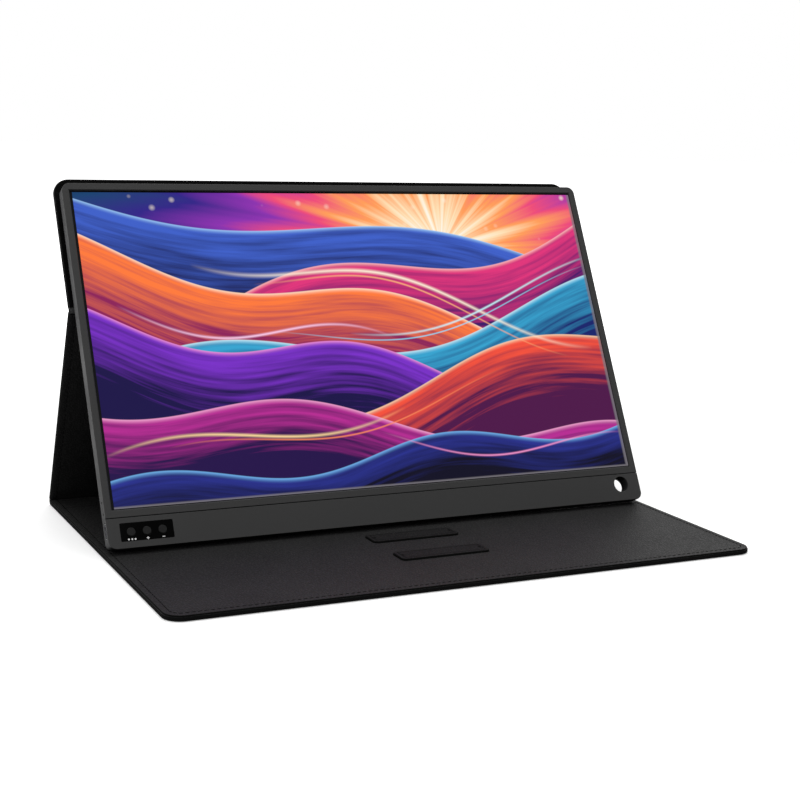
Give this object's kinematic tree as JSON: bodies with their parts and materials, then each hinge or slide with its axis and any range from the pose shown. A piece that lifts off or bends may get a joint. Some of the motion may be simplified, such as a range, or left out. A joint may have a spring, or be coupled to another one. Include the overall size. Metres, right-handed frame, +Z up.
{
  "type": "portable monitor",
  "caption": "Slim portable monitor on a folding leather cover that props it up, with front buttons, a pen hole and stop bars on the base; the cover's leg folds down flat.",
  "frame": {"origin": "centre of the base panel's underside, midway between its front edge and the rear fold's axis", "axes": "+X to the right of a viewer in front of the screen, +Y to the back, +Z up"},
  "size_m": [0.358, 0.2515, 0.205],
  "materials": {
    "cover_leather": "fine-grained black leather",
    "lining_leather": "fine-grained charcoal leather",
    "cover_board": "pressed fibre board",
    "magnet_steel": "plated magnet",
    "case_plastic": "fine matte texture",
    "bezel_plastic": "fine matte texture",
    "window_gloss": "polished black",
    "button_plastic": "satin",
    "screen_glass": "anti-glare",
    "black_tape": "foam tape",
    "clear_sheet": "polished",
    "white_plastic": "white",
    "tray_metal": "plain sheet",
    "circuit_board": "solder resist",
    "chip_black": "moulded",
    "port_steel": "plated",
    "film_amber": "film"
  },
  "bodies": {
    "base": {"base_skin": "cover_leather", "base_board": "cover_board", "spine_board": "cover_board", "closing_magnets": "magnet_steel", "base_lining": "lining_leather", "stop_bar_rear": "lining_leather", "stop_core_rear": "magnet_steel", "stop_bar_front": "lining_leather", "stop_core_front": "magnet_steel"},
    "leg": {"rear_fold": "cover_leather", "upper_fold": "cover_leather", "leg_skin": "cover_leather", "leg_board": "cover_board", "leg_lining": "lining_leather"},
    "monitor": {"upper_skin": "cover_leather", "upper_board": "cover_board", "upper_lining": "lining_leather", "mounting_pad": "black_tape", "rear_cover": "case_plastic", "bezel_frame": "bezel_plastic", "bezel_tape": "black_tape", "chin_cover": "bezel_plastic", "button_window": "window_gloss", "lcd_glass": "screen_glass", "diffuser_films": "clear_sheet", "light_guide": "clear_sheet", "reflector_sheet": "white_plastic", "backlight_frame": "white_plastic", "led_strip": "circuit_board", "panel_tray": "tray_metal", "panel_driver_board": "circuit_board", "driver_tails": "film_amber", "main_board": "circuit_board", "main_chips": "chip_black", "port_board": "circuit_board", "tact_switches": "chip_black", "usb_c_port": "port_steel", "port_tongue": "chip_black", "port_ribbon": "film_amber", "panel_cable": "film_amber", "board_screws": "port_steel"},
    "menu_button": {"menu_button": "button_plastic"},
    "plus_button": {"plus_button": "button_plastic"},
    "minus_button": {"minus_button": "button_plastic"}
  },
  "joints": [
    {"name": "leg_fold", "type": "hinge", "parent": "base", "child": "leg", "pos_m": [0, 0.12505, 0.0015], "axis": [-1, 0, 0], "range_deg": [0, 113.83]},
    {"name": "monitor_fold", "type": "hinge", "parent": "leg", "child": "monitor", "pos_m": [0, 0.06823, 0.13016], "axis": [1, 0, 0], "range_deg": [0, 51.6]},
    {"name": "menu_button_press", "type": "slide", "parent": "monitor", "child": "menu_button", "axis": [0, 0.8848, -0.466], "range_m": [0, 0.0005], "stiffness_N_per_m": 800},
    {"name": "plus_button_press", "type": "slide", "parent": "monitor", "child": "plus_button", "axis": [0, 0.8848, -0.466], "range_m": [0, 0.0005], "stiffness_N_per_m": 800},
    {"name": "minus_button_press", "type": "slide", "parent": "monitor", "child": "minus_button", "axis": [0, 0.8848, -0.466], "range_m": [0, 0.0005], "stiffness_N_per_m": 800}
  ],
  "couplings": [
    {"joint": "monitor_fold", "follows": "leg_fold", "ratio": 0.45335}
  ]
}
